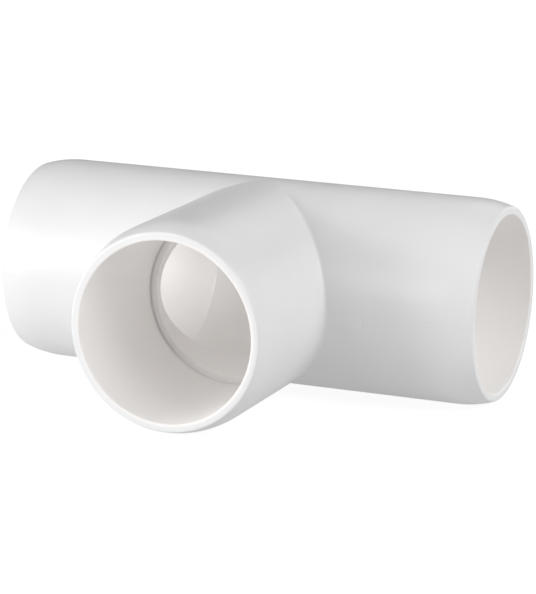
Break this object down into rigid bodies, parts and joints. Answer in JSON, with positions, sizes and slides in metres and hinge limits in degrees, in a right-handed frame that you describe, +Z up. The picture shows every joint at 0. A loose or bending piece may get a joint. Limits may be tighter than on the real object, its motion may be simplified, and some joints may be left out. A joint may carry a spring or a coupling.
{
  "type": "tee fitting",
  "caption": "Equal tee in white plastic with plain push-in sockets and inner pipe stops, joining a straight pipe run to a side branch by solvent welding.",
  "frame": {"origin": "the point where the axes of the three sockets meet", "axes": "+X along the run towards the right socket, -Y along the branch towards its mouth, +Z up, square to all three socket axes"},
  "size_m": [0.062, 0.0436, 0.0252],
  "materials": {
    "white_plastic": "semi-gloss moulded rigid plastic"
  },
  "bodies": {
    "root": {"junction_body": "white_plastic", "left_socket": "white_plastic", "right_socket": "white_plastic", "branch_socket": "white_plastic"}
  },
  "joints": []
}
